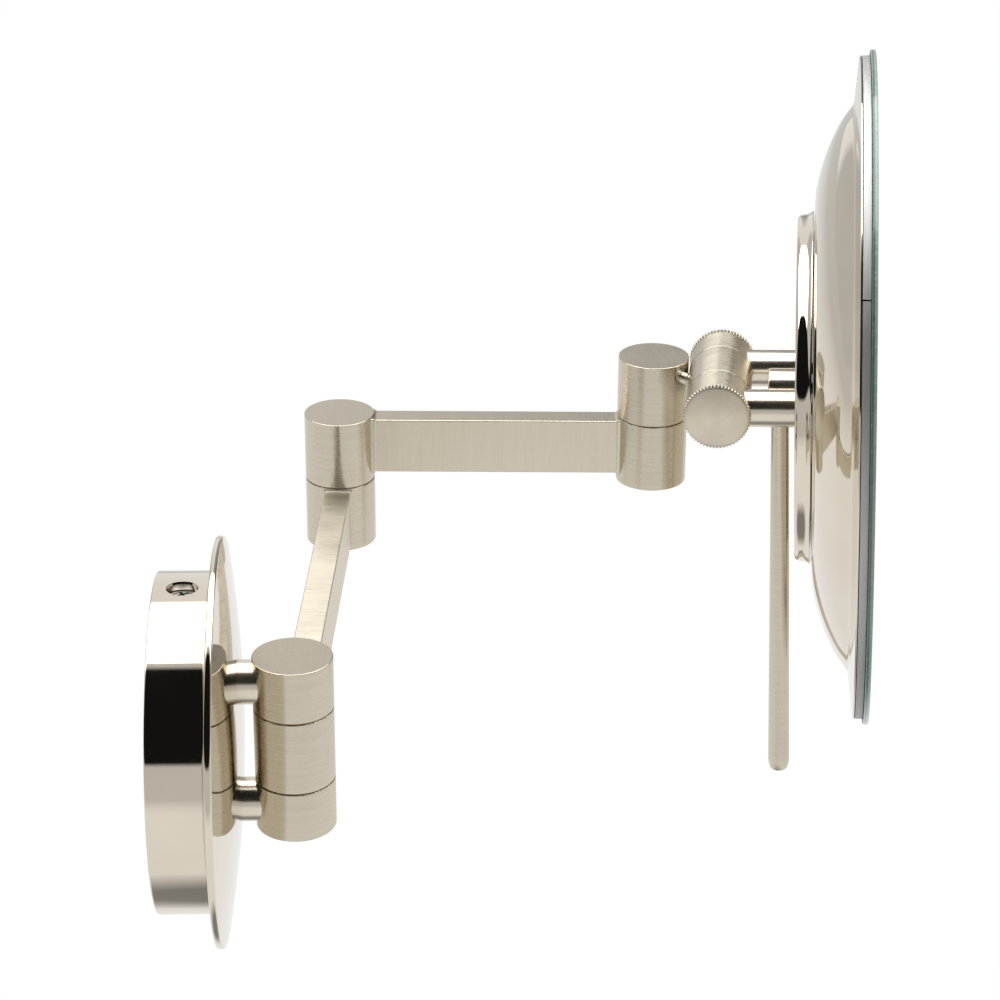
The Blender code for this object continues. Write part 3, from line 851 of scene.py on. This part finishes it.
def mirror_glass():
    """Concave silvered glass: face, ground edge in two tones (painted shade by the back, painted light by the
    front) and painted back.
    """
    _, high, radius = span("mirror_glass", HEAD_AXIS)
    rim = radius - 1.6
    front = [(rim * step / 24, high - 0.25 - GLASS_SAG * (1 - (step / 24) ** 2))
             for step in range(25)]
    back = [(r, h - GLASS_THICK + 0.25) for r, h in reversed(front)]
    outline = front + [(radius - 0.25, high, 0.1), (radius, high - 0.3, 0.1)]
    tone_change = high - GLASS_THICK * 0.52
    outline += [(radius, tone_change), (radius, high - GLASS_THICK + 0.25, 0.1),
                (radius - 0.3, high - GLASS_THICK, 0.1)] + back
    glass = lathe("mirror_glass_sheet", outline, HEAD_AXIS, 320)
    split_height = tone_change * MM
    for polygon in glass.data.polygons:
        distance = polygon.center.to_2d().length / MM
        # edge faces behind tone_change get the painted-shade edge, those in front the painted-light edge
        if distance > radius - 0.4:
            polygon.material_index = 1 if polygon.center.z < split_height else 2
        elif polygon.normal.z < 0:
            polygon.material_index = 3
    done(glass, "silvered_glass", ["mirror_glass"], GLASS_FACE, GLASS_EDGE_PAINTED_SHADE, GLASS_EDGE_PAINTED_LIGHT,
         GLASS_BACKING, sharp=25.0)


# ---- wall bracket and hidden fasteners -------------------------------------
def bracket():
    """The cup behind the drum, with its two screw holes, and the wall screws in them."""
    low, high, radius = span("wall_bracket", WALL)
    cup = lathe("wall_bracket_cup", [(0, 2.5), (41, 2.5, 0.8), (41, high, 0.3), (radius, high, 0.3),
                                     (radius, low, 0.8), (0, low)], WALL, 160)
    spots = []
    for end in ("near", "far"):
        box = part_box("wall_screw_" + end)
        spots.append(frame_on((0, (box[0].y + box[1].y) / 2, 0), (1, 0, 0)))
    carve(cup, *[lathe("hole", [(0, 4), (2.5, 4), (2.5, -2), (0, -2)], spot, 48) for spot in spots])
    done(cup, "screw_steel", ["wall_bracket"], SCREW_STEEL)
    for end, spot in zip(("near", "far"), spots):
        low, high, radius = span("wall_screw_" + end, spot)
        screw = lathe("wall_screw_" + end + "_head",
                      [(0, high), (2.6, high, 1.0), (radius, 4.0, 0.5), (radius, 2.85, 0.2),
                       (2.1, 2.85), (2.1, low, 0.3), (0, low)], spot, 64)
        carve(screw, *cross_cutters(shifted(spot, z=high), 3.6, 0.8, 1.2))
        done(screw, "screw_steel", ["wall_screw_" + end], SCREW_STEEL)


def hidden_parts():
    """CAD nodes that keep their shape: they only get their real finish."""
    finishes = {
        "lug_screw_upper": SCREW_STEEL, "lug_screw_lower": SCREW_STEEL, "tilt_axle": SCREW_STEEL,
        "yoke_screw_near": SCREW_STEEL, "yoke_screw_far": SCREW_STEEL, "post_screw": SCREW_STEEL,
        "glass_cushion": PAD,
    }
    for node, material in finishes.items():
        mesh = frame["nodes"][node].data
        mesh.materials.clear()
        mesh.materials.append(material)


# ---- studio ----------------------------------------------------------------
def between(tree, value, low, high, soft):
    """1 where value lies between low and high, 0 outside, with edges soft wide."""
    rising = ranged(tree, value, 0.0, 1.0, low - soft / 2, low + soft / 2)
    falling = ranged(tree, value, 1.0, 0.0, high - soft / 2, high + soft / 2)
    return added(tree, rising, falling, "MULTIPLY")


def seen_white(tree, tone):
    """White where the camera looks straight at it, tone where a piece reflects it."""
    path = tree.nodes.new("ShaderNodeLightPath")
    return added(tree, path.outputs["Is Camera Ray"], tone, "MAXIMUM")


def distance_from(tree, x, y, middle):
    """Distance in metres over the floor from middle."""
    off_x = added(tree, added(tree, x, -middle[0]), 2.0, "POWER")
    off_y = added(tree, added(tree, y, -middle[1]), 2.0, "POWER")
    return added(tree, added(tree, off_x, off_y), 0.5, "POWER")


def floor_tone(tree):
    """A glowing floor that is bright round the object and dimmer far off, with a painted shadow right under it."""
    source = tree.nodes.new("ShaderNodeTexCoord")
    split = tree.nodes.new("ShaderNodeSeparateXYZ")
    tree.links.new(source.outputs["Object"], split.inputs["Vector"])
    reach = distance_from(tree, split.outputs["X"], split.outputs["Y"], SHADE_AT)
    tone = ranged(tree, reach, PALE, FAR_TONE, FAR_FROM, FAR_TO)
    # painted shadow: the floor's glow is cut down right under the object
    shade = ranged(tree, reach, 1.0 - SHADE_DEPTH, 1.0, SHADE_INNER, SHADE_OUTER)
    return added(tree, tone, shade, "MULTIPLY")


def floor():
    """A plain pale floor well below the object; it glows, so nothing casts a shadow on it."""
    shape = bmesh.new()
    bmesh.ops.create_circle(shape, cap_ends=True, radius=FLOOR_RADIUS, segments=96)
    mesh = bpy.data.meshes.new("floor")
    shape.to_mesh(mesh)
    shape.free()
    ground = bpy.data.objects.new("floor", mesh)
    bpy.context.scene.collection.objects.link(ground)
    ground.location = (0.0, 0.0, -FLOOR_DEPTH)
    material, tree, shader = material_of("pale_floor", (0.01, 0.01, 0.01), 1.0, 0.0)
    shader.inputs["Specular IOR Level"].default_value = 0.0
    shader.inputs["Emission Color"].default_value = (1.0, 1.0, 1.0, 1.0)
    tree.links.new(seen_white(tree, floor_tone(tree)), shader.inputs["Emission Strength"])
    mesh.materials.append(material)


def softbox():
    """The big soft light overhead, from just in front of the object to well behind it."""
    light = bpy.data.lights.new("softbox", "AREA")
    light.shape = "RECTANGLE"
    light.size = SOFTBOX_WIDTH
    light.size_y = SOFTBOX_BACK - SOFTBOX_FRONT
    light.energy = SOFTBOX_RADIANCE * math.pi * light.size * light.size_y
    lamp = bpy.data.objects.new("softbox", light)
    lamp.location = (0.15, (SOFTBOX_BACK + SOFTBOX_FRONT) / 2, SOFTBOX_HEIGHT)
    bpy.context.scene.collection.objects.link(lamp)


def room_tone(tree):
    """A room that is pale behind and dimmer to both sides, with a dark ceiling in front."""
    source = tree.nodes.new("ShaderNodeTexCoord")
    split = tree.nodes.new("ShaderNodeSeparateXYZ")
    tree.links.new(source.outputs["Generated"], split.inputs["Vector"])
    x, y, z = split.outputs["X"], split.outputs["Y"], split.outputs["Z"]
    depth = added(tree, added(tree, y, 0.0, "ABSOLUTE"), 0.001, "MAXIMUM")
    sideways = added(tree, x, depth, "DIVIDE")
    behind = between(tree, y, 0.0, 9.0, 0.1)
    back = ranged(tree, sideways, PALE, BACK_TONE, *BACK_FALL)
    middle = between(tree, sideways, -BACK_SPREAD, BACK_SPREAD, 0.10)
    sides = ranged(tree, sideways, LEFT_TONE, RIGHT_TONE, -0.1, 0.1)
    outside = ranged(tree, middle, 1.0, 0.0, 0.0, 1.0)
    back = added(tree, added(tree, back, middle, "MULTIPLY"),
                 added(tree, sides, outside, "MULTIPLY"))
    tone = added(tree, added(tree, back, behind, "MULTIPLY"),
                 ranged(tree, behind, FAR_TONE, 0.0, 0.0, 1.0))
    lift = math.tan(math.radians(DARK_FROM_DEG))
    lean = 1 / math.tan(math.radians(DARK_TO_DEG))
    above = added(tree, z, added(tree, y, lift, "MULTIPLY"))
    ahead = added(tree, added(tree, y, -1.0, "MULTIPLY"), added(tree, z, -lean, "MULTIPLY"))
    ceiling = added(tree, ranged(tree, above, 0.0, 1.0, 0.0, 0.05),
                    ranged(tree, ahead, 0.0, 1.0, 0.0, 0.05), "MULTIPLY")
    return added(tree, tone, ranged(tree, ceiling, 1.0, DARK / PALE, 0.0, 1.0), "MULTIPLY")


def surroundings():
    """The room round the object, seen only in its reflections."""
    world = bpy.data.worlds.new("studio")
    bpy.context.scene.world = world
    world.use_nodes = True
    tree = world.node_tree
    background = tree.nodes["Background"]
    background.inputs["Color"].default_value = (1.0, 1.0, 1.0, 1.0)
    tree.links.new(seen_white(tree, room_tone(tree)), background.inputs["Strength"])


def camera():
    """The camera at the photographer's place, a little above the object."""
    pitch, yaw, roll = (math.radians(v) for v in (CAMERA_PITCH, CAMERA_YAW, CAMERA_ROLL))
    ahead = Vector((-math.sin(yaw) * math.cos(pitch), math.cos(yaw) * math.cos(pitch),
                    -math.sin(pitch)))
    level = Vector((math.cos(yaw), math.sin(yaw), 0.0))
    upward = level.cross(ahead)
    right = level * math.cos(roll) + upward * math.sin(roll)
    top = upward * math.cos(roll) - level * math.sin(roll)
    lens = bpy.data.cameras.new("camera")
    lens.lens = LENS_MM
    lens.sensor_width = SENSOR_MM
    lens.clip_start = 0.01
    lens.clip_end = 100.0
    eye = bpy.data.objects.new("camera", lens)
    turn = Matrix((right, top, -ahead)).transposed().to_4x4()
    eye.matrix_world = Matrix.Translation(CAMERA_AT) @ turn
    bpy.context.scene.collection.objects.link(eye)
    bpy.context.scene.camera = eye


bpy.context.scene.view_settings.view_transform = "Standard"
camera()
floor()
softbox()
surroundings()
bracket()
wall_drum()
cover_dome()
base_hinge()
arms()
clutch()
back_of_hub = hub()
yoke_bars(back_of_hub)
handle(back_of_hub)
shell()
rim_band()
mirror_glass()
hidden_parts()
